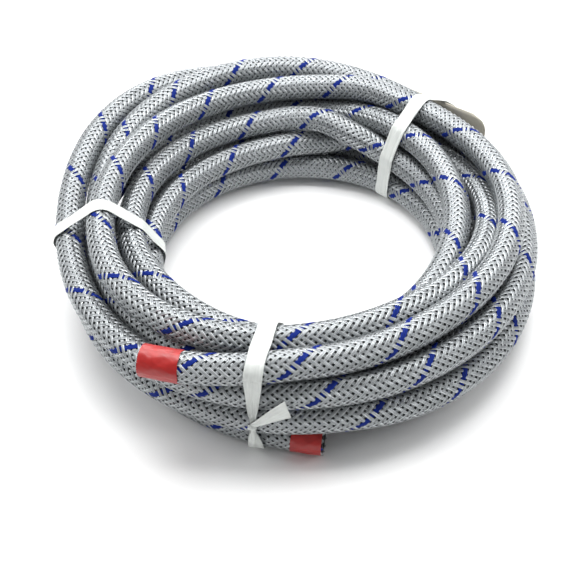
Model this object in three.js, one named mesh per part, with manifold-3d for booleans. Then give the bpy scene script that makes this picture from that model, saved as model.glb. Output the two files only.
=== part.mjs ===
// A coil of braided fuel hose, lying on the floor and tied in three places.
// Millimetres, +Z up. The origin is on the floor at the middle of the coil, and the side
// with the two taped ends faces -Y.

import * as THREE from 'three';
import { mergeVertices } from 'three/addons/utils/BufferGeometryUtils.js';
import Module from 'manifold-3d';

const wasm = await Module();
wasm.setup();

// Hose
const hoseOD = 14;
const hoseBore = 8;
const hoseSides = 10;
const boreSides = 8;

// Coil
const coilRadius = 98;          // middle of the bundle, from the middle of the coil
const stepsPerTurn = 32;        // straight stretches that one turn is made of
const startAngle = 238.6;       // degrees round from +X, where the first end lies
const endAngle = 277;           // where the last end lies, after the whole turns
const strandGap = 0.3;          // least gap between one turn and the next
const settleRounds = 240;       // times that the turns are pushed apart
const smoothRounds = 24;        // rounds of those that also straighten the turns
const smoothShare = 0.12;
const facingShare = 0.75;       // share of a stretch within which two stations face each other

// End tapes
const firstTapeLength = 17.5;
const lastTapeLength = 13.5;
const tapeThick = 0.5;
const tapeGap = 0.3;
const endInset = 0.5;           // bare hose left outside each tape

// Ties, each a strip of film round the bundle. A knot sits on the outermost part of two of
// them, and the tails that leave it are flat, drawn as [along the coil, up] from the knot.
const tieWidth = 8;
const tieThick = 0.4;
const tieGap = 0.3;
const tieOutlineSides = 20;     // straight stretches that a full circle of a tie is made of
const ties = [
  {
    name: 'tie_front',
    angle: 263,
    knotRadius: 2.2,
    tails: [
      [[-1, 0], [1, -1], [17, 3.5], [15.5, 13], [4, 6]],
      [[-1.2, 1], [-2, -11], [1.5, -11.5], [1.2, 1]],
    ],
  },
  { name: 'tie_left', angle: 187, tails: [] },
  {
    name: 'tie_rear',
    angle: 49.5,
    knotRadius: 1.2,
    tails: [
      [[1, 1], [-10, 0], [-9, -5], [0, -4]],
    ],
  },
];
const knotSides = 8;

// Card that lies under the bundle at the rear tie and stands up along its outer side
const cardAngle = 53;
const cardWidth = 76;
const cardThick = 0.6;
const cardGap = 0.3;
const cardBend = 9;
const cardBendSteps = 5;
const cardInnerEdge = 83;       // from the middle of the coil
const cardHeight = 42;          // top of the standing flap, above the floor
const cardRamp = 20;            // degrees over which the hose comes down off the card

// Height that a tie lifts the hose off the floor
const lift = tieThick + tieGap;

// Where each turn lies in the bundle, as [out, up] in hose diameters from the coil's
// middle radius and from the floor, at eight places round the coil. One row is one turn,
// from the front left, through the front, right and rear, to the left.
const turnPlaces = [
  [[2.1, 3.0], [0.68, 3.0], [0.25, 2.95], [0.72, 2.85], [0.7, 2.6], [0.38, 2.6], [-0.15, 2.85], [-0.5, 2.95]],
  [[0.1, 2.9], [-0.37, 3.0], [-0.78, 2.75], [0.03, 2.0], [0.5, 1.2], [-1.26, 1.0], [-1.72, 1.0], [-2.05, 1.2]],
  [[-1.3, 0.9], [-0.9, 1.0], [-1.1, 0.3], [-1.2, 0.0], [-0.9, 0.0], [-1.28, 0.0], [-1.57, 0.0], [-1.75, 0.15]],
  [[-1.0, 0.0], [-0.8, 0.0], [-0.9, 0.6], [-1.2, 1.1], [-0.75, 1.0], [-0.6, 1.65], [-0.95, 1.85], [-1.3, 2.0]],
  [[-1.4, 2.3], [-1.0, 2.0], [-1.3, 1.9], [-1.22, 2.1], [-0.35, 2.25], [0.5, 1.65], [0.4, 1.5], [0.3, 1.1]],
  [[0.85, 1.0], [1.2, 1.0], [1.35, 0.75], [1.25, 0.5], [1.35, 0.9], [1.55, 2.2], [1.95, 3.1], [0.6, 2.0]],
  [[1.0, 2.05], [1.08, 2.05], [1.0, 2.1], [1.25, 1.55], [1.45, 1.9], [1.31, 3.0], [0.85, 2.95], [-0.3, 1.9]],
  [[0.03, 1.9], [0.05, 2.0], [0.0, 1.85], [-0.1, 1.0], [0.1, 0.4], [-0.3, 0.75], [-0.6, 0.7], [-0.5, 0.6]],
  [[0.1, 0.0], [1.0, 0.0], [2.8, 0.0]],
];

const deg = Math.PI / 180;
const placesPerTurn = 8;
const placeStep = 360 / placesPerTurn;
const firstPlaceAngle = 225;
const wholeTurns = turnPlaces.length - 1;

// Smooth curve through four even values, between the middle two
function catmullRom(a, b, c, d, t) {
  const slopeB = (c - a) / 2;
  const slopeC = (d - b) / 2;
  const t2 = t * t;
  const t3 = t2 * t;
  return (2 * t3 - 3 * t2 + 1) * b + (t3 - 2 * t2 + t) * slopeB
    + (3 * t2 - 2 * t3) * c + (t3 - t2) * slopeC;
}

// The chosen place of the hose at a turned angle, in diameters
function chosenPlace(angle) {
  const list = turnPlaces.flat();
  const at = (angle - firstPlaceAngle) / placeStep;
  const i = Math.floor(at);
  const pick = (k, axis) => list[Math.min(Math.max(k, 0), list.length - 1)][axis];
  return [0, 1].map((axis) => catmullRom(
    pick(i - 1, axis), pick(i, axis), pick(i + 1, axis), pick(i + 2, axis), at - i));
}

// Turned angles of the hose's stations: the taped ends first, then even steps
function stationAngles() {
  const first = startAngle;
  const last = endAngle + 360 * wholeTurns;
  const firstTapeTurn = (firstTapeLength + endInset) / coilRadius / deg;
  const lastTapeTurn = (lastTapeLength + endInset) / coilRadius / deg;
  const inner = [];
  const step = 360 / stepsPerTurn;
  const from = Math.ceil((first + firstTapeTurn + step / 2) / step);
  const to = Math.floor((last - lastTapeTurn - step / 2) / step);
  for (let k = from; k <= to; k += 1) {
    inner.push(k * step);
  }
  return [first, first + firstTapeTurn, ...inner, last - lastTapeTurn, last];
}

// How far a place at a turned angle is held up by the card
function cardLift(angle) {
  const halfSpan = cardWidth / 2 / coilRadius / deg + 360 / stepsPerTurn;
  const away = Math.abs((angle - cardAngle + 180) % 360 - 180);
  const share = 1 - Math.min(Math.max((away - halfSpan) / cardRamp, 0), 1);
  return (cardThick + cardGap) * share;
}

// Push the turns apart wherever two of them would overlap, and keep them off the floor
function settle(stations) {
  const places = stations.map((angle) => {
    const [out, up] = chosenPlace(angle);
    return [out * hoseOD, up * hoseOD];
  });
  const reach = stations.map((angle, i) => {
    const taped = i < 2 || i > stations.length - 3;
    return hoseOD / 2 + (taped ? tapeGap + tapeThick : 0);
  });
  const near = [];
  const span = 360 / stepsPerTurn * facingShare;
  for (let i = 0; i < stations.length; i += 1) {
    for (let j = i + 3; j < stations.length; j += 1) {
      const turned = (stations[j] - stations[i]) % 360;
      if (Math.min(turned, 360 - turned) < span) {
        near.push([i, j]);
      }
    }
  }
  for (let round = 0; round < settleRounds; round += 1) {
    if (round < smoothRounds) {
      smooth(places, smoothShare);
    }
    for (const [i, j] of near) {
      const least = reach[i] + reach[j] + strandGap;
      const across = places[j][0] - places[i][0];
      const above = places[j][1] - places[i][1];
      const apart = Math.hypot(across, above);
      if (apart > 0 && apart < least) {
        const push = (least - apart) / 2 / apart;
        places[i][0] -= across * push;
        places[i][1] -= above * push;
        places[j][0] += across * push;
        places[j][1] += above * push;
      }
    }
    places.forEach((place, i) => {
      place[1] = Math.max(place[1], reach[i] - hoseOD / 2 + cardLift(stations[i]));
    });
  }
  return places;
}

// Ease each place a little towards the middle of its two neighbours
function smooth(places, share) {
  const before = places.map((place) => [...place]);
  for (let i = 1; i < places.length - 1; i += 1) {
    for (const axis of [0, 1]) {
      const middle = (before[i - 1][axis] + before[i + 1][axis]) / 2;
      places[i][axis] += (middle - before[i][axis]) * share;
    }
  }
}

const stations = stationAngles();
const settled = settle(stations);
const route = stations.map((angle, i) => {
  const radius = coilRadius + settled[i][0];
  const height = lift + hoseOD / 2 + settled[i][1];
  return new THREE.Vector3(
    radius * Math.cos(angle * deg), radius * Math.sin(angle * deg), height);
});

// A path of straight stretches whose cross-sections stay upright
class StationPath extends THREE.Curve {
  constructor(points) {
    super();
    this.points = points;
  }

  getPoint(t, target = new THREE.Vector3()) {
    const at = t * (this.points.length - 1);
    const i = Math.min(Math.floor(at + 1e-6), this.points.length - 2);
    return target.lerpVectors(this.points[i], this.points[i + 1], at - i);
  }

  getPointAt(u, target) {
    return this.getPoint(u, target);
  }

  computeFrenetFrames(steps) {
    const tangents = [];
    const normals = [];
    const binormals = [];
    const last = this.points.length - 1;
    for (let k = 0; k <= steps; k += 1) {
      const i = Math.round(k * last / steps);
      const ahead = this.points[Math.min(i + 1, last)];
      const behind = this.points[Math.max(i - 1, 0)];
      const tangent = ahead.clone().sub(behind).normalize();
      const side = new THREE.Vector3().crossVectors(tangent, new THREE.Vector3(0, 0, 1)).normalize();
      tangents.push(tangent);
      normals.push(side);
      binormals.push(new THREE.Vector3().crossVectors(tangent, side));
    }
    return { tangents, normals, binormals };
  }
}

// Even-sided ring of points with one corner straight down
function roundOutline(radius, sides) {
  const points = [];
  for (let i = 0; i < sides; i += 1) {
    const turn = 2 * Math.PI * i / sides - Math.PI / 2;
    points.push(new THREE.Vector2(radius * Math.cos(turn), radius * Math.sin(turn)));
  }
  return points;
}

function ringSection(outer, outerSides, inner, innerSides) {
  const section = new THREE.Shape(roundOutline(outer, outerSides));
  section.holes.push(new THREE.Path(roundOutline(inner, innerSides)));
  return section;
}

function sweep(section, points) {
  return new THREE.ExtrudeGeometry(section, {
    steps: points.length - 1,
    curveSegments: 1,
    extrudePath: new StationPath(points),
  });
}

function makeHose() {
  return sweep(ringSection(hoseOD / 2, hoseSides, hoseBore / 2, boreSides), route);
}

// A sleeve of tape round the hose, a little in from the cut end
function makeTape(end, inner, length) {
  const along = inner.clone().sub(end).normalize();
  const near = end.clone().addScaledVector(along, endInset);
  const far = near.clone().addScaledVector(along, length);
  const section = ringSection(
    hoseOD / 2 + tapeGap + tapeThick, hoseSides, hoseOD / 2 + tapeGap, hoseSides);
  return sweep(section, [near, near.clone().lerp(far, 0.5), far]);
}

// Middle of every turn where the bundle is cut at one angle, as [radius, height]
function bundleSection(angle, halfWidth) {
  const found = [];
  const out = new THREE.Vector3(Math.cos(angle * deg), Math.sin(angle * deg), 0);
  const along = new THREE.Vector3(-out.y, out.x, 0);
  for (let i = 0; i + 1 < route.length; i += 1) {
    const [a, b] = [route[i], route[i + 1]];
    const [from, to] = [a.dot(along), b.dot(along)];
    if (a.dot(out) < 0 || Math.min(from, to) > halfWidth || Math.max(from, to) < -halfWidth) {
      continue;
    }
    for (const edge of [-halfWidth, 0, halfWidth]) {
      const t = Math.min(Math.max((edge - from) / (to - from), 0), 1);
      const point = a.clone().lerp(b, t);
      found.push([point.dot(out), point.z]);
    }
  }
  return found;
}

// Convex outline round a set of [x, y] points, counterclockwise
function hull(points) {
  const sorted = [...points].sort((a, b) => a[0] - b[0] || a[1] - b[1]);
  const turn = (o, a, b) => (a[0] - o[0]) * (b[1] - o[1]) - (a[1] - o[1]) * (b[0] - o[0]);
  const half = (list) => {
    const chain = [];
    for (const point of list) {
      while (chain.length > 1 && turn(chain.at(-2), chain.at(-1), point) <= 1e-6) {
        chain.pop();
      }
      chain.push(point);
    }
    return chain.slice(0, -1);
  };
  return [...half(sorted), ...half(sorted.reverse())];
}

function circleAround([x, y], radius) {
  const points = [];
  for (let i = 0; i < tieOutlineSides; i += 1) {
    const turn = 2 * Math.PI * i / tieOutlineSides - Math.PI / 2;
    points.push([x + radius * Math.cos(turn), y + radius * Math.sin(turn)]);
  }
  return points;
}

// Stand an outline drawn as [radius, height] at an angle and give it a width
function standAt(angle, shape, width) {
  const geometry = new THREE.ExtrudeGeometry(shape, { depth: width, bevelEnabled: false });
  geometry.translate(0, 0, -width / 2);
  const out = new THREE.Vector3(Math.cos(angle * deg), Math.sin(angle * deg), 0);
  const up = new THREE.Vector3(0, 0, 1);
  const basis = new THREE.Matrix4().makeBasis(out, up, out.clone().cross(up));
  return geometry.applyMatrix4(basis);
}

function toVectors(points) {
  return points.map(([x, y]) => new THREE.Vector2(x, y));
}

function toManifold(geometry) {
  const bare = geometry.clone();
  bare.deleteAttribute('normal');
  bare.deleteAttribute('uv');
  const merged = mergeVertices(bare, 1e-4);
  return new wasm.Manifold(new wasm.Mesh({
    numProp: 3,
    vertProperties: merged.attributes.position.array,
    triVerts: Uint32Array.from(merged.index.array),
  }));
}

function toGeometry(solid) {
  const mesh = solid.getMesh();
  const geometry = new THREE.BufferGeometry();
  geometry.setAttribute('position', new THREE.BufferAttribute(mesh.vertProperties, 3));
  geometry.setIndex(new THREE.BufferAttribute(mesh.triVerts, 1));
  return geometry;
}

// Outline of the card, from its inner edge along the floor and up the outer side, at a
// distance outside the face that the hose lies on
function cardLine(offset) {
  const outer = Math.max(...bundleSection(cardAngle, cardWidth / 2).map(([x]) => x));
  const face = outer + hoseOD / 2 + cardGap + offset;
  const floor = lift + cardThick - offset;
  const bend = cardBend + offset;
  const line = [[cardInnerEdge, floor]];
  for (let k = 0; k <= cardBendSteps; k += 1) {
    const turn = Math.PI / 2 * k / cardBendSteps;
    line.push([face - bend + bend * Math.sin(turn), floor + bend - bend * Math.cos(turn)]);
  }
  line.push([face, cardHeight]);
  return line;
}

function makeCard() {
  const outline = [...cardLine(cardThick), ...cardLine(0).reverse()];
  return standAt(cardAngle, new THREE.Shape(toVectors(outline)), cardWidth);
}

// A tie is as tight as a string round the cut bundle, and round the card where it crosses one
function tieLine(tie, offset) {
  const points = bundleSection(tie.angle, tieWidth / 2)
    .flatMap((middle) => circleAround(middle, hoseOD / 2 + tieGap + offset));
  const turned = (tie.angle - cardAngle) * deg;
  if (Math.abs(turned) * coilRadius < cardWidth / 2) {
    for (const [x, y] of cardLine(cardThick)) {
      for (const edge of [-tieWidth / 2, tieWidth / 2]) {
        const radius = (x + edge * Math.sin(turned)) / Math.cos(turned);
        points.push(...circleAround([radius, y], tieGap + offset));
      }
    }
  }
  return hull(points);
}

// Flat tail in the plane of the tie's outermost face, half sunk into it
function makeTail(tie, face, height, outline) {
  const geometry = standAt(tie.angle + 90, new THREE.Shape(toVectors(outline)), tieThick);
  return geometry.translate(
    face * Math.cos(tie.angle * deg), face * Math.sin(tie.angle * deg), height);
}

function makeKnot(tie, face, height) {
  const geometry = new THREE.SphereGeometry(tie.knotRadius, knotSides, knotSides / 2);
  const out = face - tieThick / 2 + tie.knotRadius;
  return geometry.translate(
    out * Math.cos(tie.angle * deg), out * Math.sin(tie.angle * deg), height);
}

function makeTie(tie) {
  const outer = tieLine(tie, tieThick);
  const loop = new THREE.Shape(toVectors(outer));
  loop.holes.push(new THREE.Path(toVectors(tieLine(tie, 0))));
  const band = standAt(tie.angle, loop, tieWidth);
  if (tie.tails.length === 0) {
    return band;
  }
  const face = Math.max(...outer.map(([x]) => x));
  const height = Math.max(...outer.filter(([x]) => x > face - tieThick / 10).map(([, y]) => y));
  const pieces = [band, makeKnot(tie, face, height),
    ...tie.tails.map((outline) => makeTail(tie, face, height, outline))];
  return toGeometry(wasm.Manifold.union(pieces.map(toManifold)));
}

const colours = {
  braid: [0x9aa0a3, 0.45, 0.35],
  tape: [0xcc2a28, 0.4, 0],
  film: [0xe8ebe4, 0.35, 0],
  card: [0xd9d3c2, 0.8, 0],
};

function addPiece(group, name, geometry, [color, roughness, metalness]) {
  const mesh = new THREE.Mesh(
    geometry, new THREE.MeshStandardMaterial({ color, roughness, metalness }));
  mesh.name = name;
  group.add(mesh);
}

const group = new THREE.Group();
addPiece(group, 'hose', makeHose(), colours.braid);
addPiece(group, 'end_tape_first', makeTape(route[0], route[1], firstTapeLength), colours.tape);
addPiece(group, 'end_tape_last', makeTape(route.at(-1), route.at(-2), lastTapeLength), colours.tape);
for (const tie of ties) {
  addPiece(group, tie.name, makeTie(tie), colours.film);
}
addPiece(group, 'card', makeCard(), colours.card);

// The origin is under the middle of the whole box
const middle = new THREE.Box3().setFromObject(group).getCenter(new THREE.Vector3());
group.position.set(-middle.x, -middle.y, 0);

export default group;
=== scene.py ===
import math

import bpy
import numpy as np
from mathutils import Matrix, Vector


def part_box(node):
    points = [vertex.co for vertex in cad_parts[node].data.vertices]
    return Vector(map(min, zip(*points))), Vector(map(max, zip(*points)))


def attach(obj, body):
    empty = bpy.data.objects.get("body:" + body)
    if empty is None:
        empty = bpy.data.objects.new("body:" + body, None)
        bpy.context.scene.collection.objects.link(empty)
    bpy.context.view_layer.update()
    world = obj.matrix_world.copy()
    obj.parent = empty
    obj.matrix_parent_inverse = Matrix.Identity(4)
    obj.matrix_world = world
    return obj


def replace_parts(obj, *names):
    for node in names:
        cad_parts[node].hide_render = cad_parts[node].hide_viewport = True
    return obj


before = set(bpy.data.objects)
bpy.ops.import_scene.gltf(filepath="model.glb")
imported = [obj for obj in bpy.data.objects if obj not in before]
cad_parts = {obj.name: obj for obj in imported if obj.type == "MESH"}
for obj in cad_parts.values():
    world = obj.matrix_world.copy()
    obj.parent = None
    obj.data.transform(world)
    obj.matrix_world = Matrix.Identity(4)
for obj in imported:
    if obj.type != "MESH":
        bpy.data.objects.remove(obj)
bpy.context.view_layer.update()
print("frame loaded")

deg = math.pi / 180

# The hose's own sizes, in metres, and the route that it lies in
hose = {
    "diameter": 0.014,
    "bore": 0.008,
    "coilRadius": 0.098,
    "stepsPerTurn": 32,
    "startAngle": 238.6,
    "endAngle": 277.0,
    "strandGap": 0.0003,
    "settleRounds": 240,
    "smoothRounds": 24,
    "smoothShare": 0.12,
    "firstPlaceAngle": 225,
    "placesPerTurn": 8,
    "facingShare": 0.75,     # stations less than this share of a step apart face each other
    "nearStations": 3,       # stations closer than this along the hose aren't pushed apart
    "lineSpacing": 0.0005,
}
hoseRadius = hose["diameter"] / 2
tape = {"firstLength": 0.0175, "lastLength": 0.0135, "thick": 0.0005, "gap": 0.0003, "inset": 0.0005}
tie = {"width": 0.008, "thick": 0.0004, "gap": 0.0003}
card = {
    "angle": 53,
    "width": 0.076,
    "thick": 0.0006,
    "gap": 0.0003,
    "bend": 0.009,
    "innerEdge": 0.083,
    "height": 0.042,
    "ramp": 20,              # degrees over which the hose climbs on to it
    "cornerRadius": 0.009,
}

# [out, up] of each turn at eight places round the coil, in hose diameters
turnPlaces = [
    [[2.1, 3.0], [0.68, 3.0], [0.25, 2.95], [0.72, 2.85],
     [0.7, 2.6], [0.38, 2.6], [-0.15, 2.85], [-0.5, 2.95]],
    [[0.1, 2.9], [-0.37, 3.0], [-0.78, 2.75], [0.03, 2.0],
     [0.5, 1.2], [-1.26, 1.0], [-1.72, 1.0], [-2.05, 1.2]],
    [[-1.3, 0.9], [-0.9, 1.0], [-1.1, 0.3], [-1.2, 0.0],
     [-0.9, 0.0], [-1.28, 0.0], [-1.57, 0.0], [-1.75, 0.15]],
    [[-1.0, 0.0], [-0.8, 0.0], [-0.9, 0.6], [-1.2, 1.1],
     [-0.75, 1.0], [-0.6, 1.65], [-0.95, 1.85], [-1.3, 2.0]],
    [[-1.4, 2.3], [-1.0, 2.0], [-1.3, 1.9], [-1.22, 2.1],
     [-0.35, 2.25], [0.5, 1.65], [0.4, 1.5], [0.3, 1.1]],
    [[0.85, 1.0], [1.2, 1.0], [1.35, 0.75], [1.25, 0.5],
     [1.35, 0.9], [1.55, 2.2], [1.95, 3.1], [0.6, 2.0]],
    [[1.0, 2.05], [1.08, 2.05], [1.0, 2.1], [1.25, 1.55],
     [1.45, 1.9], [1.31, 3.0], [0.85, 2.95], [-0.3, 1.9]],
    [[0.03, 1.9], [0.05, 2.0], [0.0, 1.85], [-0.1, 1.0],
     [0.1, 0.4], [-0.3, 0.75], [-0.6, 0.7], [-0.5, 0.6]],
    [[0.1, 0.0], [1.0, 0.0], [2.8, 0.0]],
]
wholeTurns = len(turnPlaces) - 1


def hermite(b, c, slopeB, slopeC, t):
    return ((2 * t**3 - 3 * t**2 + 1) * b + (t**3 - 2 * t**2 + t) * slopeB
            + (3 * t**2 - 2 * t**3) * c + (t**3 - t**2) * slopeC)


def catmullRom(a, b, c, d, t):
    return hermite(b, c, (c - a) / 2, (d - b) / 2, t)


def chosenPlace(angle):
    places = np.array([place for row in turnPlaces for place in row])
    at = (angle - hose["firstPlaceAngle"]) / (360 / hose["placesPerTurn"])
    i = math.floor(at)
    pick = [places[min(max(k, 0), len(places) - 1)] for k in range(i - 1, i + 3)]
    return catmullRom(*pick, at - i)


def stationAngles():
    first, last = hose["startAngle"], hose["endAngle"] + 360 * wholeTurns
    firstTape = (tape["firstLength"] + tape["inset"]) / hose["coilRadius"] / deg
    lastTape = (tape["lastLength"] + tape["inset"]) / hose["coilRadius"] / deg
    step = 360 / hose["stepsPerTurn"]
    start = math.ceil((first + firstTape + step / 2) / step)
    stop = math.floor((last - lastTape - step / 2) / step)
    inner = [k * step for k in range(start, stop + 1)]
    return [first, first + firstTape, *inner, last - lastTape, last]


def cardLift(angle):
    step = 360 / hose["stepsPerTurn"]
    halfSpan = card["width"] / 2 / hose["coilRadius"] / deg + step
    away = abs((angle - card["angle"] + 180) % 360 - 180)
    share = 1 - min(max((away - halfSpan) / card["ramp"], 0), 1)
    return (card["thick"] + card["gap"]) * share


# Pairs of stations that face each other, with the least distance between their middles
def facingPairs(angles, reach):
    span = 360 / hose["stepsPerTurn"] * hose["facingShare"]
    pairs = []
    for i in range(len(angles)):
        for j in range(i + hose["nearStations"], len(angles)):
            turned = (angles[j] - angles[i]) % 360
            if min(turned, 360 - turned) < span:
                pairs.append((i, j, reach[i] + reach[j] + hose["strandGap"]))
    return pairs


def easePlaces(places):
    before = [list(p) for p in places]
    for i in range(1, len(places) - 1):
        for axis in (0, 1):
            middle = (before[i - 1][axis] + before[i + 1][axis]) / 2
            places[i][axis] += (middle - before[i][axis]) * hose["smoothShare"]


def pushApart(places, pairs):
    for i, j, least in pairs:
        across = places[j][0] - places[i][0]
        above = places[j][1] - places[i][1]
        apart = math.hypot(across, above)
        if 0 < apart < least:
            push = (least - apart) / 2 / apart
            places[i][0] -= across * push
            places[i][1] -= above * push
            places[j][0] += across * push
            places[j][1] += above * push


# The turns are eased, pushed apart where they would overlap, and kept off the floor
def settledRoute():
    angles = stationAngles()
    count = len(angles)
    sleeve = tape["gap"] + tape["thick"]
    taped = 2  # stations under the tape, at each end
    reach = [hoseRadius + (sleeve if i < taped or i >= count - taped else 0) for i in range(count)]
    low = [reach[i] - hoseRadius + cardLift(angles[i]) for i in range(count)]
    pairs = facingPairs(angles, reach)
    places = [list(chosenPlace(a) * hose["diameter"]) for a in angles]
    for turn in range(hose["settleRounds"]):
        if turn < hose["smoothRounds"]:
            easePlaces(places)
        pushApart(places, pairs)
        for i in range(count):
            places[i][1] = max(places[i][1], low[i])
    lift = tie["thick"] + tie["gap"] + hoseRadius
    points = []
    for angle, (out, up) in zip(angles, places):
        r = hose["coilRadius"] + out
        points.append([r * math.cos(angle * deg), r * math.sin(angle * deg), lift + up])
    return np.array(points)


# From the coil's own middle to the middle of the hose in the frame
def frameShift(points):
    low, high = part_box("hose")
    middle = (points.min(axis=0) + points.max(axis=0)) / 2
    return np.array([(low.x + high.x) / 2 - middle[0], (low.y + high.y) / 2 - middle[1], 0])


routePoints = settledRoute()
coilShift = frameShift(routePoints)
print("route settled, shift", coilShift.round(5))

# Camera, from the fit of the coil to the photograph
camera = {
    "target": (-0.00101, -0.03229, 0.020),
    "elevation": 44.53,
    "distance": 0.53565,
    "pixels": 1097.7,
    "frame": 580,
    "sensor": 36,
}


def addCamera():
    data = bpy.data.cameras.new("camera")
    data.sensor_width = camera["sensor"]
    data.lens = camera["sensor"] * camera["pixels"] / camera["frame"]
    data.clip_start = 0.01
    eye = bpy.data.objects.new("camera", data)
    tilt = camera["elevation"] * deg
    back = np.array([0, -math.cos(tilt), math.sin(tilt)]) * camera["distance"]
    eye.location = np.array(camera["target"]) + coilShift + back
    eye.rotation_euler = (math.pi / 2 - tilt, 0, 0)
    bpy.context.collection.objects.link(eye)
    bpy.context.scene.camera = eye


addCamera()
bpy.context.scene.view_settings.view_transform = "Standard"


def runAlong(points):
    return np.concatenate([[0], np.cumsum(np.linalg.norm(np.diff(points, axis=0), axis=1))])


def pointsAt(places, run, points):
    return np.stack([np.interp(places, run, column) for column in points.T], axis=1)


# One smooth line through the route's points, evenly spaced along its length
def smoothLine(points, spacing):
    at = runAlong(points)
    gaps = np.diff(at)
    slopes = np.gradient(points, at, axis=0)
    dense = np.linspace(0, at[-1], int(at[-1] / spacing))
    i = np.clip(np.searchsorted(at, dense, side="right") - 1, 0, len(gaps) - 1)
    t = ((dense - at[i]) / gaps[i])[:, None]
    h = gaps[i][:, None]
    line = hermite(points[i], points[i + 1], h * slopes[i], h * slopes[i + 1], t)
    run = runAlong(line)
    stops = np.linspace(0, run[-1], round(run[-1] / spacing) + 1)
    return stops, pointsAt(stops, run, line)


def uprightFrames(line):
    along = np.gradient(line, axis=0)
    along /= np.linalg.norm(along, axis=1)[:, None]
    side = np.cross(along, [0, 0, 1.0])
    side /= np.linalg.norm(side, axis=1)[:, None]
    return along, side, np.cross(side, along)


braid = {
    "carriers": 12,          # each way round
    "lay": 0.0421,           # length of one whole turn of a strand
    "start": -0.42,          # turns from the outer side to the blue strand, at the first end
    "wander": 0.2,           # turns by which the twist strays in each turn of the coil
    "wanderAngle": 180,      # where round the coil it strays furthest
    "radius": 0.0068,        # middle of the weave
    "rise": 0.0002,          # a strand over another, and under it
    "width": 0.0017,
    "tracerWidth": 0.00258,  # the blue yarn spreads wider than the wires
    "edgeDrop": 0.00026,
    "flat": 0.48,            # share of the width that is flat
    "tracer": (1, 0),        # hand and number of the blue strand
    "lookAcross": (0.002, 0.22, 0.78, 0.998),  # where the section's points lie in the look's u
    "lookPerMetre": 400,
}


# Stations lie where the strands cross, so they are closer together where the lay is tight
def braidStations():
    stops, line = smoothLine(routePoints + coilShift, hose["lineSpacing"])
    coilAngle = np.arctan2(line[:, 1] - coilShift[1], line[:, 0] - coilShift[0])
    turns = braid["start"] + stops / braid["lay"]
    turns += braid["wander"] * np.cos(coilAngle - braid["wanderAngle"] * deg)
    perTurn = 2 * braid["carriers"]
    steps = round((turns[-1] - turns[0]) * perTurn)
    turns = turns[0] + (turns - turns[0]) * steps / perTurn / (turns[-1] - turns[0])
    crossings = turns[0] + np.arange(steps + 1) / perTurn
    picked = np.interp(crossings, turns, stops)
    return picked, crossings, pointsAt(picked, stops, line)


stops, strandTurns, line = braidStations()
hoseLength = float(stops[-1])
along, side, up = uprightFrames(line)
print("line of", len(line), "stations,", round(hoseLength, 4), "m")


# Shader maths: a wire is one socket's value, and maths on it adds the nodes
class Wire:
    def __init__(self, shade, socket):
        self.shade = shade
        self.socket = socket

    def __add__(self, other):
        return self.shade.maths("ADD", self, other)

    def __sub__(self, other):
        return self.shade.maths("SUBTRACT", self, other)

    def __rsub__(self, other):
        return self.shade.maths("SUBTRACT", other, self)

    def __mul__(self, other):
        return self.shade.maths("MULTIPLY", self, other)

    __radd__ = __add__
    __rmul__ = __mul__


class Shade:
    def __init__(self, name):
        self.material = bpy.data.materials.new(name)
        self.material.use_nodes = True
        self.tree = self.material.node_tree
        self.surface = self.tree.nodes["Principled BSDF"]

    def node(self, kind, settings=None, values=None):
        made = self.tree.nodes.new(kind)
        for key, value in (settings or {}).items():
            if key == "stops":
                self.setStops(made, value)
            else:
                setattr(made, key, value)
        self.feed(made, values or {})
        return made

    def setStops(self, ramp, stops):
        elements = ramp.color_ramp.elements
        while len(elements) < len(stops):
            elements.new(0.5)
        for element, (place, shade) in zip(elements, stops):
            element.position = place
            element.color = (*shade, 1) if isinstance(shade, tuple) else (shade, shade, shade, 1)

    def feed(self, made, values):
        for key, value in values.items():
            target = made.inputs[key]
            if isinstance(value, Wire):
                self.tree.links.new(value.socket, target)
            elif isinstance(value, tuple) and len(value) == 3 and target.type == "RGBA":
                target.default_value = (*value, 1)
            else:
                target.default_value = value

    def wire(self, kind, settings=None, values=None, output=0):
        return Wire(self, self.node(kind, settings, values).outputs[output])

    def maths(self, operation, *values):
        return self.wire("ShaderNodeMath", {"operation": operation}, dict(enumerate(values)))

    def mix(self, factor, first, second):
        return self.wire("ShaderNodeMix", {"data_type": "RGBA"}, {0: factor, 6: first, 7: second}, 2)

    def uv(self, name):
        return self.node("ShaderNodeUVMap", {"uv_map": name}).outputs["UV"]

    def split(self, socket):
        parts = self.node("ShaderNodeSeparateXYZ")
        self.tree.links.new(socket, parts.inputs[0])
        return [Wire(self, parts.outputs[k]) for k in range(3)]

    def noise(self, scale, detail=3.0, place=None, rough=0.5):
        values = {"Scale": scale, "Detail": detail, "Roughness": rough}
        values["Vector"] = place or self.wire("ShaderNodeTexCoord", output=3)
        return self.wire("ShaderNodeTexNoise", None, values)

    def ramp(self, factor, stops):
        return self.wire("ShaderNodeValToRGB", {"stops": stops}, {"Fac": factor})

    def bump(self, height, strength, distance):
        values = {"Height": height, "Strength": strength, "Distance": distance}
        return self.wire("ShaderNodeBump", None, values)

    def finish(self, **values):
        self.feed(self.surface, {key.replace("_", " "): value for key, value in values.items()})
        return self.material


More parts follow.
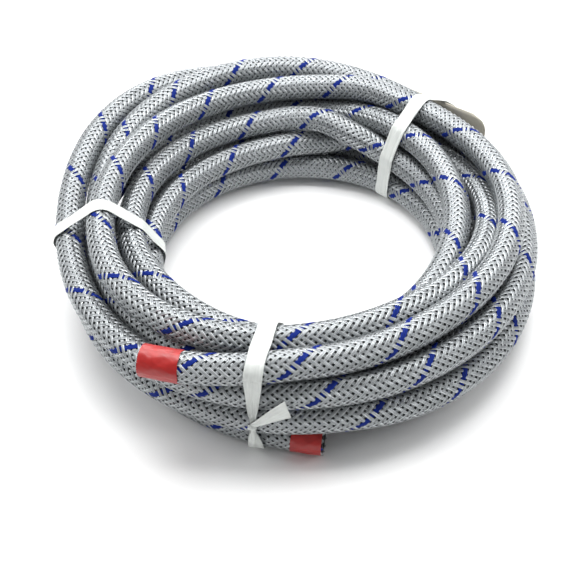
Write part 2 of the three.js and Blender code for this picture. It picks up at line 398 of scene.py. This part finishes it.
strandLook = {
    "wires": 3,
    "crown": 1.3,            # the higher, the narrower a wire's crown, in its bump and in its painted highlight
    # share of the colour that is a painted highlight on each wire's crown
    "crownHighlight": 0.8,
    "toneShare": 0.5,
    # painted shade: lowers the whole colour, so the grooves between the wires go dark
    "grooveShade": 0.15,
    "spread": (7.3, 1.9),    # steps in the noise from strand to strand, and from wire to wire
    "stretch": 0.35,
    "dulling": 0.12,
    "bump": 0.9,
    "toneBump": 0.4,
    "depth": 0.00016,
    # In both looks, dark is the painted shade in the grooves between the wires, and the colour nears light
    # on the wires' crowns, a painted highlight
    "silver": {"dark": (0.01, 0.011, 0.013), "light": (0.57, 0.6, 0.615),
               "metal": 0.8, "rough": 0.25, "shine": 0.5},
    "blue": {"dark": (0.002, 0.008, 0.07), "light": (0.004, 0.024, 0.25),
             "metal": 0.0, "rough": 0.65, "shine": 0.15},
}


# Strand of fine wires: u counts strands and runs across one, v runs along it. Each wire's crown is painted
# lighter and the grooves between the wires painted dark, a painted highlight and painted shade, over a
# random tone
def strandMaterial(name, look):
    shade = Shade(name)
    u, v, _ = shade.split(shade.uv("strand"))
    across = shade.maths("FRACT", u)
    strand = shade.maths("FLOOR", u)
    wires = strandLook["wires"]
    wave = shade.maths("ABSOLUTE", shade.maths("SINE", across * (math.pi * wires)))
    wireNumber = shade.maths("FLOOR", across * wires)
    strandStep, wireStep = strandLook["spread"]
    sample = {0: strand * strandStep + wireNumber * wireStep, 1: v * strandLook["stretch"]}
    tone = shade.noise(1.0, 2.0, shade.wire("ShaderNodeCombineXYZ", None, sample))
    crown = shade.maths("POWER", wave, strandLook["crown"])
    # Painted highlight on the wires' crowns and painted shade in the grooves between them, over the random
    # tone
    toneAndPaintedLight = crown * strandLook["crownHighlight"] + tone * strandLook["toneShare"] - strandLook["grooveShade"]
    colour = shade.mix(toneAndPaintedLight, look["dark"], look["light"])
    glint = shade.ramp(tone, [(0.3, look["rough"] + strandLook["dulling"]), (0.7, look["rough"])])
    height = crown + tone * strandLook["toneBump"]
    normal = shade.bump(height, strandLook["bump"], strandLook["depth"])
    shade.surface.inputs["Specular IOR Level"].default_value = look["shine"]
    return shade.finish(Base_Color=colour, Roughness=glint, Metallic=look["metal"], Normal=normal)


rubberLook = {"dark": (0.006, 0.007, 0.008), "light": (0.02, 0.021, 0.023), "rough": 0.62}


def rubberMaterial():
    shade = Shade("blackRubber")
    tone = shade.noise(900.0, 4.0)
    colour = shade.ramp(tone, [(0.3, rubberLook["dark"]), (0.75, rubberLook["light"])])
    normal = shade.bump(tone, 0.3, 0.0002)
    return shade.finish(Base_Color=colour, Roughness=rubberLook["rough"], Normal=normal)


silver = strandMaterial("silverStrand", strandLook["silver"])
blue = strandMaterial("blueStrand", strandLook["blue"])
rubber = rubberMaterial()


# Mesh from a grid of points, rows by columns, closed round either way if asked
def gridObject(name, grids, material, closeRows=False, closeColumns=False, uvs=None):
    verts, faces, coords = [], [], []
    base = 0
    for g, grid in enumerate(grids):
        rows, columns = grid.shape[:2]
        index = np.arange(rows * columns).reshape(rows, columns) + base
        if closeRows:
            index = np.vstack([index, index[:1]])
        if closeColumns:
            index = np.hstack([index, index[:, :1]])
        quads = np.stack([index[:-1, :-1], index[1:, :-1], index[1:, 1:], index[:-1, 1:]], axis=-1)
        verts.append(grid.reshape(-1, 3))
        faces.append(quads.reshape(-1, 4))
        if uvs is not None:
            coords.append(uvs[g].reshape(-1, 2))
        base += rows * columns
    verts, faces = np.concatenate(verts), np.concatenate(faces)
    mesh = bpy.data.meshes.new(name)
    mesh.vertices.add(len(verts))
    mesh.vertices.foreach_set("co", verts.astype(np.float32).ravel())
    mesh.loops.add(faces.size)
    mesh.loops.foreach_set("vertex_index", faces.astype(np.int32).ravel())
    mesh.polygons.add(len(faces))
    mesh.polygons.foreach_set("loop_start", np.arange(0, faces.size, 4, dtype=np.int32))
    mesh.update(calc_edges=True)
    mesh.validate()
    if uvs is not None:
        layer = mesh.uv_layers.new(name="strand")
        flat = np.concatenate(coords)[faces.ravel()]
        layer.data.foreach_set("uv", flat.astype(np.float32).ravel())
    mesh.polygons.foreach_set("use_smooth", np.ones(len(mesh.polygons), bool))
    mesh.materials.append(material)
    made = bpy.data.objects.new(name, mesh)
    bpy.context.collection.objects.link(made)
    return made


def tubeGrid(radius, picks, sides):
    turn = np.linspace(0, 2 * math.pi, sides, endpoint=False)
    c, s = np.cos(turn)[None, :, None], np.sin(turn)[None, :, None]
    return line[picks][:, None] + radius * (c * side[picks][:, None] + s * up[picks][:, None])


core = {"radius": 0.00637, "sides": 18, "boreSides": 18, "outerEvery": 3, "boreEvery": 12}


def makeCore():
    last = len(line) - 1
    picks = np.unique(np.append(np.arange(0, last, core["outerEvery"]), last))
    borePicks = np.unique(np.append(np.arange(0, last, core["boreEvery"]), last))
    outer = tubeGrid(core["radius"], picks, core["sides"])
    bore = tubeGrid(hose["bore"] / 2, borePicks, core["boreSides"])
    startFace = np.stack([bore[0], outer[0]])
    endFace = np.stack([outer[-1], bore[-1]])
    piece = gridObject("hose_core", [outer, bore[::-1], startFace, endFace], rubber, closeColumns=True)
    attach(piece, "root")
    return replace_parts(piece, "hose")


hoseCore = makeCore()
print("core", len(hoseCore.data.polygons), "faces")


# Flat strands that pass over two and under two, one grid for each strand
def strandGrid(hand, carrier, first, last):
    n = np.arange(first, last + 1)
    turned = 2 * math.pi * strandTurns[n]
    start = 2 * math.pi * carrier / braid["carriers"]
    column = (2 * carrier + hand * n) % 4
    over = (column < 2) == (hand > 0)
    radius = braid["radius"] + np.where(over, braid["rise"], -braid["rise"])
    lean = math.atan(2 * math.pi * braid["radius"] / braid["lay"])
    half = braid["tracerWidth" if (hand, carrier) == braid["tracer"] else "width"] / 2
    offsets = np.array([-half, -half * braid["flat"], half * braid["flat"], half])
    drops = np.array([braid["edgeDrop"], 0, 0, braid["edgeDrop"]])
    shift = -offsets * hand * math.sin(lean)
    roll = offsets * math.cos(lean) / braid["radius"]
    phi = (start + hand * turned)[:, None] + roll[None, :]
    r = radius[:, None] - drops[None, :]
    grid = (line[n][:, None] + along[n][:, None] * shift[None, :, None]
            + (r * np.cos(phi))[..., None] * side[n][:, None]
            + (r * np.sin(phi))[..., None] * up[n][:, None])
    number = carrier + (braid["carriers"] if hand < 0 else 0)
    u, v = number + np.array(braid["lookAcross"]), stops[n][:, None] * braid["lookPerMetre"]
    return grid, np.stack(np.broadcast_arrays(u, v), axis=-1)


def makeBraid():
    pieces = []
    count = len(line) - 1
    edges = np.linspace(0, count, wholeTurns + 1).astype(int)
    for turn in range(wholeTurns):
        grids, coords = [], []
        for hand in (1, -1):
            for carrier in range(braid["carriers"]):
                if (hand, carrier) == braid["tracer"]:
                    continue
                grid, uv = strandGrid(hand, carrier, edges[turn], edges[turn + 1])
                grids.append(grid)
                coords.append(uv)
        pieces.append(gridObject(f"braid_turn_{turn + 1}", grids, silver, uvs=coords))
    grid, uv = strandGrid(*braid["tracer"], 0, count)
    pieces.append(gridObject("braid_tracer", [grid], blue, uvs=[uv]))
    for piece in pieces:
        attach(piece, "root")
    return pieces


braidPieces = makeBraid()
print("braid", sum(len(p.data.polygons) for p in braidPieces) * 2, "triangles")


# Red tape wound once and a quarter round each end
tapeLook = {
    "radius": 0.00722,
    "swell": 0.00012,
    "step": 0.00016,         # one layer of tape
    "rough": 0.00035,        # how far the edge away from the hose's end strays
    "lapped": 0.55,          # half turns that lie double
    "lapEase": 14,           # how sharply the lap ends
    "around": 96,
    "down": 30,
    "dark": (0.24, 0.005, 0.005),
    "light": (0.46, 0.014, 0.011),
}


def tapeMaterial():
    shade = Shade("redTape")
    broad = shade.noise(260.0, 3.0)
    fine = shade.noise(1800.0, 2.0)
    colour = shade.mix(broad, tapeLook["dark"], tapeLook["light"])
    normal = shade.bump(broad + fine * 0.25, 0.35, 0.0005)
    return shade.finish(Base_Color=colour, Roughness=shade.ramp(broad, [(0.3, 0.3), (0.7, 0.46)]),
                        Normal=normal, Coat_Weight=0.08, Coat_Roughness=0.2)


redTape = tapeMaterial()


# Waves round, waves down, share of the seed and weight of each sine in the wobble
ripples = [(3, 1.3, 1, 1.0), (5, -2.1, 2, 0.7), (9, 4.3, 3, 0.45)]


def wobble(a, b, seed):
    total = sum(weight for *_, weight in ripples)
    return sum(weight * math.sin(m * a + n * b + k * seed) for m, n, k, weight in ripples) / total


# The hose's middle at a run along it, and the directions to its side and its top
def middleAt(run):
    k = min(max(int(np.searchsorted(stops, run)) - 1, 0), len(line) - 2)
    t = min(max((run - stops[k]) / (stops[k + 1] - stops[k]), 0), 1)
    return line[k] * (1 - t) + line[k + 1] * t, side[k], up[k]


def makeTape(name, node, fromStart, length, seed):
    around, down = tapeLook["around"], tapeLook["down"]
    lapEnd = math.pi * tapeLook["lapped"]
    outer = np.zeros((down + 1, around, 3))
    inner = np.zeros((down + 1, around, 3))
    for i in range(down + 1):
        for j in range(around):
            a = 2 * math.pi * j / around
            share = i / down
            ragged = wobble(a, 0, seed) * tapeLook["rough"] if i == down else 0
            run = tape["inset"] + length * share + ragged
            centre, sideways, upward = middleAt(run if fromStart else hoseLength - run)
            lap = min(1, max(0, lapEnd - a) * tapeLook["lapEase"])
            r = tapeLook["radius"] + tapeLook["swell"] * wobble(a * 2, share * 5, seed)
            ring = sideways * math.cos(a) + upward * math.sin(a)
            outer[i, j] = centre + ring * (r + tapeLook["step"] * lap)
            inner[i, j] = centre + ring * (tapeLook["radius"] - tapeLook["step"])
    if not fromStart:
        outer, inner = outer[::-1], inner[::-1]
    rims = [np.stack([inner[0], outer[0]]), np.stack([outer[-1], inner[-1]])]
    piece = gridObject(name, [outer, inner[::-1], *rims], redTape, closeColumns=True)
    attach(piece, "root")
    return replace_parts(piece, node)


tapePieces = [
    makeTape("tape_first", "end_tape_first", True, tape["firstLength"], 0.6),
    makeTape("tape_last", "end_tape_last", False, tape["lastLength"], 2.9),
]
print("end tapes")


# Middles of the turns within a half width of an angle round the coil, as (radius, height)
def bundleSection(angle, halfWidth):
    out = np.array([math.cos(angle * deg), math.sin(angle * deg), 0])
    tangent = np.array([-out[1], out[0], 0])
    found = []
    points = line - coilShift
    near = (np.abs(points @ tangent) < halfWidth) & (points @ out > 0)
    for point in points[near]:
        found.append((float(point @ out), float(point[2])))
    return found


def hull(points):
    ordered = sorted(set(points))

    def half(rows):
        chain = []
        for p in rows:
            while len(chain) > 1:
                (ax, ay), (bx, by) = chain[-2], chain[-1]
                if (bx - ax) * (p[1] - ay) - (by - ay) * (p[0] - ax) > 0:
                    break
                chain.pop()
            chain.append(p)
        return chain[:-1]

    return half(ordered) + half(ordered[::-1])


def circleAround(middle, radius, count=48):
    return [(middle[0] + radius * math.cos(2 * math.pi * k / count),
             middle[1] + radius * math.sin(2 * math.pi * k / count)) for k in range(count)]


cardLook = {
    "rows": 14,
    "bendRows": 8,
    "columns": 21,
    "bow": 0.0004,
    "bowRate": 60,
    "dark": (0.36, 0.33, 0.27),
    "light": (0.62, 0.59, 0.5),
}


# The card's line from its inner edge along the floor and up the outside, as (radius, height)
def cardLine():
    outer = max(x for x, _ in bundleSection(card["angle"], card["width"] / 2))
    face = outer + hoseRadius + card["gap"] + card["thick"] / 2
    floor = tie["thick"] + tie["gap"] + card["thick"] / 2
    bend, rows, bendRows = card["bend"], cardLook["rows"], cardLook["bendRows"]
    points = [(x, floor) for x in np.linspace(card["innerEdge"], face - bend, rows)]
    for k in range(1, bendRows + 1):
        turn = math.pi / 2 * k / bendRows
        points.append((face - bend + bend * math.sin(turn), floor + bend - bend * math.cos(turn)))
    points += [(face, z) for z in np.linspace(floor + bend, card["height"], rows)[1:]]
    return points


def standPoint(angle, radius, height, sideways):
    c, s = math.cos(angle * deg), math.sin(angle * deg)
    return np.array([radius * c - sideways * s, radius * s + sideways * c, height]) + coilShift


def cardMaterial():
    shade = Shade("greyBoard")
    fibre = shade.noise(700.0, 5.0, rough=0.7)
    broad = shade.noise(38.0, 3.0)
    colour = shade.mix(fibre * 0.6 + broad * 0.4, cardLook["dark"], cardLook["light"])
    return shade.finish(Base_Color=colour, Roughness=0.85, Normal=shade.bump(fibre, 0.3, 0.0003))


# How far a rounded corner draws the card's side in, at a run from the nearer end
def cornerPull(run):
    radius = card["cornerRadius"]
    return radius - math.sqrt(max(radius**2 - max(radius - run, 0)**2, 0))


# A thin sheet, thickened to both sides
def addThickness(piece, thick):
    modifier = piece.modifiers.new("thickness", "SOLIDIFY")
    modifier.thickness = thick
    modifier.offset = 0


def makeCard():
    points = cardLine()
    runs = runAlong(np.array(points))
    total, columns = runs[-1], cardLook["columns"]
    grid = np.zeros((len(points), columns, 3))
    for i, (radius, height) in enumerate(points):
        half = card["width"] / 2 - cornerPull(min(runs[i], total - runs[i]))
        for j in range(columns):
            sideways = half * (2 * j / (columns - 1) - 1)
            bow = cardLook["bow"] * math.cos(sideways * cardLook["bowRate"]) * (runs[i] / total)
            grid[i, j] = standPoint(card["angle"], radius - bow, height, sideways)
    piece = gridObject("backing_card", [grid], cardMaterial())
    addThickness(piece, card["thick"])
    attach(piece, "root")
    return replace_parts(piece, "card")


makeCard()
print("card")


# Film ties: a thin strip pulled round the bundle, with creases that run along it
film = {
    "inside": 0.00045,       # from the hose to the middle of the film
    "thick": 0.00012,
    "stations": 260,
    "across": 13,
    "crease": 0.00011,
    "fineCrease": 0.00006,
    "creases": (7.2, 15),    # how closely they lie across the film, broad and fine
    "sway": (5, 90),         # how far the broad creases wander, and how often
    "fineRate": 420,
    "edgeCurl": 0.00008,
    "pinch": 0.74,           # share of its width that a knotted tie loses
    "pinchLength": 0.014,    # a knotted tie draws in over this length
    "pinchPower": 1.6,
    "gather": 0.0005,        # how much deeper creases are at the knot
    "waver": (0.03, 310),    # share by which the width strays, and how often
    "lowest": 0.00025,       # the film's middle is never nearer to the floor
    "lookPerMetre": 100,
    "overlap": (0.027, 0.082),  # where the front tie lies double, from its knot up
    "torn": 0.0006,          # how far its torn end strays
    "tears": (9, 23),
    "overlapFold": 0.6,      # share of the creases' depth
    "overlapRise": 2.5,      # thicknesses above the film below
    "overlapWidth": 1.04,
    "overlapShift": (1.3, 0.7),  # so that its creases differ from those below
    "faceDepth": 0.00004,    # points this near the outermost one lie on the outer face
    "leanOver": 0.05,        # radius over which a leaning tie leans by its angle
    "knotRise": 0.0025,      # the knot sits this far over the top of the outermost face
    "front": {"angle": 263, "lean": 2.2, "knot": True},
    "left": {"angle": 187, "lean": 0.0, "knot": False},
    "rear": {"angle": 49.5, "lean": 0.0, "knot": False},
    # dark is painted shade in the creases' hollows, light the film's white on their ridges
    "dark": (0.46, 0.49, 0.47),
    "light": (0.8, 0.82, 0.79),
}


def filmMaterial():
    shade = Shade("whiteFilm")
    u, v, _ = shade.split(shade.uv("strand"))
    place = shade.wire("ShaderNodeCombineXYZ", None, {0: u * 9, 1: v * 0.6})
    crease = shade.noise(1.0, 4.0, place, 0.6)
    cloudy = shade.noise(240.0, 2.0)
    # Painted shade: darker in the hollows of the creases and lighter on their ridges, following their
    # bump, over a random cloudy tone
    colour = shade.mix(crease * 0.7 + cloudy * 0.3, film["dark"], film["light"])
    return shade.finish(Base_Color=colour, Roughness=shade.ramp(cloudy, [(0.3, 0.28), (0.7, 0.42)]),
                        Normal=shade.bump(crease, 0.5, 0.0005))


whiteFilm = filmMaterial()


# A closed outline as evenly spaced points, from the one nearest to a start
def evenLoop(points, count, start):
    closed = np.array(points + points[:1])
    run = runAlong(closed)
    loop = pointsAt(np.linspace(0, run[-1], count, endpoint=False), run, closed)
    first = int(np.argmin(np.hypot(loop[:, 0] - start[0], loop[:, 1] - start[1])))
    return np.roll(loop, -first, axis=0), run[-1]


def filmPiece(name, grid, uv, closeRows=False):
    piece = gridObject(name, [grid], whiteFilm, closeRows=closeRows, uvs=[uv])
    addThickness(piece, film["thick"])
    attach(piece, "root")
    return piece


# Round the turns, and round the card where it passes under the tie
def tieOutline(look):
    angle = look["angle"]
    circles = []
    halfWidth = tie["width"] / 2 + look["lean"] * deg * hose["coilRadius"]
    for middle in bundleSection(angle, halfWidth):
        circles += circleAround(middle, hoseRadius + film["inside"])
    turned = (angle - card["angle"]) * deg
    if abs(turned) * hose["coilRadius"] < card["width"] / 2:
        for x, z in cardLine():
            for edge in (-tie["width"] / 2, tie["width"] / 2):
                radius = (x + edge * math.sin(turned)) / math.cos(turned)
                circles += circleAround((radius, z), card["thick"] / 2 + film["inside"], 12)
    return hull(circles)


# A leaning tie turns round the coil as it comes outward from its middle
def leanedAngle(look, middle, radius):
    return look["angle"] + look["lean"] * (middle - radius) / film["leanOver"]


# Creases run along the film and grow deeper at the knot
def filmFold(share, run, pinch):
    broad, fine = film["creases"]
    sway, swayRate = film["sway"]
    fold = math.sin(share * broad + sway * math.sin(run * swayRate)) * film["crease"]
    deeper = film["fineCrease"] + film["gather"] * pinch
    fold += math.sin(share * fine + run * film["fineRate"]) * deeper
    return fold + abs(share)**6 * film["edgeCurl"]


def makeFilm(name, node, look):
    outline = tieOutline(look)
    face = max(x for x, _ in outline)
    knotHeight = max(z for x, z in outline if x > face - film["faceDepth"])
    knotHeight += film["knotRise"] * look["knot"]
    loop, total = evenLoop(outline, film["stations"], (face, knotHeight))
    middle = loop[:, 0].mean()
    count, columns = film["stations"], film["across"]
    waver, waverRate = film["waver"]
    grid = np.zeros((count, columns, 3))
    second = np.zeros((count, columns, 3))
    uv = np.zeros((count, columns, 2))
    for i in range(count):
        ahead, behind = loop[(i + 1) % count], loop[i - 1]
        slope = (ahead - behind) / np.linalg.norm(ahead - behind)
        outward = np.array([slope[1], -slope[0]])
        run = total * i / count
        fromKnot = min(run, total - run) / film["pinchLength"]
        pinch = math.exp(-fromKnot**film["pinchPower"]) if look["knot"] else 0
        half = tie["width"] / 2 * (1 - film["pinch"] * pinch)
        half *= 1 + waver * math.sin(run * waverRate)
        angle = leanedAngle(look, middle, loop[i][0])
        for j in range(columns):
            share = 2 * j / (columns - 1) - 1
            fold = filmFold(share, run, pinch)
            r, z = loop[i] + outward * (fold + film["gather"] * pinch)
            grid[i, j] = standPoint(angle, r, max(z, film["lowest"]), half * share)
            coarse, small = film["tears"]
            tear = film["torn"] * (math.sin(share * coarse) + math.sin(share * small + 1)) / 2
            rise = fold * film["overlapFold"] + film["thick"] * film["overlapRise"]
            r, z = loop[i] + outward * rise + slope * tear
            sideways = half * share * film["overlapWidth"]
            second[i, j] = standPoint(angle, r, max(z, film["lowest"]), sideways)
            uv[i, j] = (j / (columns - 1), run * film["lookPerMetre"])
    piece = filmPiece(name, grid, uv, closeRows=True)
    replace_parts(piece, node)
    if look["knot"]:
        a, b = (int(count * place / total) for place in film["overlap"])
        filmPiece(name + "_overlap", second[a:b], uv[a:b] + np.array(film["overlapShift"]))
    return leanedAngle(look, middle, face), face, knotHeight


knots = {
    "front": makeFilm("film_front", "tie_front", film["front"]),
    "rear": makeFilm("film_rear", "tie_rear", film["rear"]),
}
makeFilm("film_left", "tie_left", film["left"])
print("film ties")

# Loose tails, each a fan from the knot, as rows of [along the coil, up, out] in millimetres
tails = {
    "tail_front_side": ("front", [[[-0.6, -1, 0.6], [-0.8, 0.4, 1.2], [-1, 1.6, 0.6]],
                                  [[5, 2.6, 0.9], [4.2, 4.6, 2.4], [3.2, 6.8, 1.0]],
                                  [[11, 6.4, 1.0], [9.6, 10, 2.2], [8.2, 13.4, 1.4]],
                                  [[16.8, 9.8, 1.2], [15.8, 15.2, 2.4], [14.2, 20.6, 1.8]]]),
    "tail_front_down": ("front", [[[-0.8, 0.4, 0.6], [0, 0.4, 1.4], [0.8, 0.4, 0.6]],
                                  [[-1.0, -3.5, 0.6], [0, -3.5, 1.4], [0.9, -3.5, 0.4]],
                                  [[-1.7, -7.5, 0.3], [-0.3, -7.8, 1.3], [1.1, -7.6, 0.4]],
                                  [[-2.2, -10.6, 0.0], [-0.3, -11.8, 0.9], [1.5, -11, 0.4]]]),
    "tail_rear": ("rear", [[[0, -4, 0.3], [0.4, -2, 0.7], [0, 0.6, 0.3]],
                           [[-4, -4.3, 0.5], [-3.8, -2, 1.2], [-4, 0.4, 0.5]],
                           [[-9.5, -4.6, 0.6], [-9.8, -2.1, 1.0], [-9.4, -0.4, 0.8]]]),
}

tailLook = {
    "finer": 8,
    "pleat": 0.00022,
    "pleats": 1.35,
    "pleatDrift": 0.1,
    "pleatFade": 0.5,        # share of its depth that a pleat loses by the tail's end
    "lookStep": 0.12,
}


# Rows and columns of points with a number of steps put in between each two
def finerRows(rows, steps):
    rows = np.array(rows, float)
    for axis in (0, 1):
        count = (rows.shape[axis] - 1) * steps + 1
        at = np.linspace(0, rows.shape[axis] - 1, count)
        low = np.minimum(at.astype(int), rows.shape[axis] - 2)
        share = at - low
        rows = np.moveaxis(rows, axis, 0)
        pick = [rows[np.clip(low + k, 0, len(rows) - 1)] for k in (-1, 0, 1, 2)]
        rows = catmullRom(*pick, share.reshape(-1, 1, 1))
        rows = np.moveaxis(rows, 0, axis)
    return rows


def makeTail(name, where, rows):
    angle, face, height = knots[where]
    fine = finerRows(rows, tailLook["finer"])
    count, columns = fine.shape[:2]
    grid = np.zeros_like(fine)
    uv = np.zeros((count, columns, 2))
    for i in range(count):
        depth = tailLook["pleat"] * (1 - tailLook["pleatFade"] * i / count)
        for j in range(columns):
            alongCoil, rise, out = fine[i, j] / 1000
            out += depth * math.sin(j * tailLook["pleats"] + i * tailLook["pleatDrift"])
            grid[i, j] = standPoint(angle, face + out, height + rise, alongCoil)
            uv[i, j] = (j / (columns - 1), i * tailLook["lookStep"])
    filmPiece(name, grid, uv)


# A lumpy ball, flattened toward the bundle
knotLook = {
    "rows": 14,
    "columns": 20,
    "size": 0.0017,
    "out": 0.0011,           # its middle lies this far outside the tie's face
    "share": {"out": 0.8, "up": 0.95, "sideways": 1.25},
    "lumps": [(4, 3, 0.16), (7, -5, 0.1)],  # waves round, waves down and height of each
}


def makeKnot():
    angle, face, height = knots["front"]
    rows, columns, share = knotLook["rows"], knotLook["columns"], knotLook["share"]
    grid = np.zeros((rows, columns, 3))
    for i in range(rows):
        for j in range(columns):
            a, b = math.pi * (i + 0.5) / rows, 2 * math.pi * j / columns
            lumps = sum(high * math.sin(m * b + n * a) for m, n, high in knotLook["lumps"])
            size = knotLook["size"] * (1 + lumps)
            out = knotLook["out"] + size * math.sin(a) * math.cos(b) * share["out"]
            rise = size * math.cos(a) * share["up"]
            sideways = size * math.sin(a) * math.sin(b) * share["sideways"]
            grid[i, j] = standPoint(angle, face + out, height + rise, sideways)
    uv = np.stack(np.meshgrid(np.linspace(0, 2, columns), np.linspace(0, 1, rows)), axis=-1)
    piece = gridObject("knot_front", [grid], whiteFilm, closeColumns=True, uvs=[uv])
    smoothness = piece.modifiers.new("smooth", "SUBSURF")
    smoothness.levels = smoothness.render_levels = 1
    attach(piece, "root")


for name, (where, rows) in tails.items():
    makeTail(name, where, rows)
makeKnot()
print("tails and knot")

# Plain pale floor and soft studio light
studio = {
    "floor": 3.0,
    "floorTones": ((0.9, 0.9, 0.9), (0.915, 0.915, 0.91)),
    "sky": (0.97, 0.985, 1, 1),
    "skyStrength": 0.34,
}


def addStudio():
    shade = Shade("paleFloor")
    tone = shade.noise(3.0, 2.0)
    darker, lighter = studio["floorTones"]
    shade.finish(Base_Color=shade.ramp(tone, [(0.3, darker), (0.7, lighter)]), Roughness=0.9)
    half = studio["floor"] / 2
    corners = np.array([[[-half, -half, 0], [-half, half, 0]], [[half, -half, 0], [half, half, 0]]], float)
    floor = gridObject("floor", [corners], shade.material)
    world = bpy.data.worlds.new("studio")
    world.use_nodes = True
    background = world.node_tree.nodes["Background"]
    background.inputs["Color"].default_value = studio["sky"]
    background.inputs["Strength"].default_value = studio["skyStrength"]
    bpy.context.scene.world = world


# name: place, turn in degrees, width, depth, watts
lamps = {
    "top": ((0.0, 0.35, 1.15), (-16, 0, 0), 1.2, 0.7, 20),
    "back": ((0.0, 1.15, 0.75), (-57, 0, 0), 1.1, 0.4, 11),
    "left": ((-1.0, 0.15, 0.75), (0, -53, 0), 0.4, 0.9, 6.5),
    "right": ((1.0, 0.15, 0.75), (0, 53, 0), 0.4, 0.9, 5.5),
}


def addLamps():
    for name, (place, turn, width, depth, watts) in lamps.items():
        data = bpy.data.lights.new(name, "AREA")
        data.shape = "RECTANGLE"
        data.size, data.size_y = width, depth
        data.energy = watts
        lamp = bpy.data.objects.new(name, data)
        lamp.location = place
        lamp.rotation_euler = [math.radians(t) for t in turn]
        bpy.context.collection.objects.link(lamp)


addStudio()
addLamps()
print("studio")
